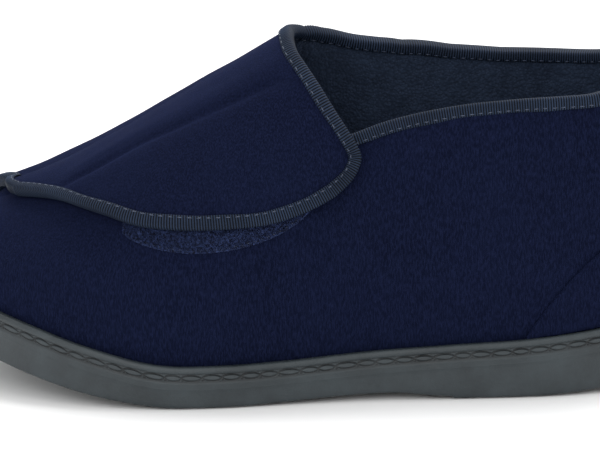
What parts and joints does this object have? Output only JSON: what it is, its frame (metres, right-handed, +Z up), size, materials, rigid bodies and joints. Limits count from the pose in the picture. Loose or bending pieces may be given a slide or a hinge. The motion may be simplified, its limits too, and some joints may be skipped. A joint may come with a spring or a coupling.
{
  "type": "wrap-over comfort slipper",
  "caption": "Left-foot house slipper with a high upper, a wide wrap-over instep flap closed by hook and loop tape, ribbed edge binding and a cupped unit sole.",
  "frame": {"origin": "under the middle of the slipper, on the ground", "axes": "-X to the toe, +X to the heel, -Y to the outer side of the left foot, +Y to the inner side, +Z up"},
  "size_m": [0.264, 0.1042, 0.1257],
  "materials": {
    "velour": "matt velour with a short pile",
    "towelling": "matt towelling",
    "ribbon": "ribbed ribbon, slight sheen",
    "loop_tape": "fuzzy loops",
    "hook_tape": "stiff hooks",
    "foam": "open cell foam",
    "board": "pressed fibre board",
    "sole_rubber": "satin, lightly mottled"
  },
  "bodies": {
    "shoe": {"outsole": "sole_rubber", "insole_board": "board", "footbed": "foam", "footbed_cover": "towelling", "lateral_upper": "velour", "medial_upper": "velour", "heel_patch": "velour", "lateral_foam": "foam", "medial_foam": "foam", "heel_counter": "board", "toe_puff": "board", "lateral_lining": "towelling", "medial_lining": "towelling", "collar_binding": "ribbon", "throat_binding": "ribbon", "seam_binding": "ribbon", "loop_patch": "loop_tape"},
    "flap": {"flap_outer": "velour", "flap_foam": "foam", "flap_lining": "towelling", "flap_binding": "ribbon", "hook_patch": "hook_tape"}
  },
  "joints": [
    {"name": "flap_hinge", "type": "hinge", "parent": "shoe", "child": "flap", "pos_m": [-0.00123, 0.01598, 0.12396], "axis": [-0.8921, 0.0097, -0.4518], "range_deg": [0, 150]}
  ]
}
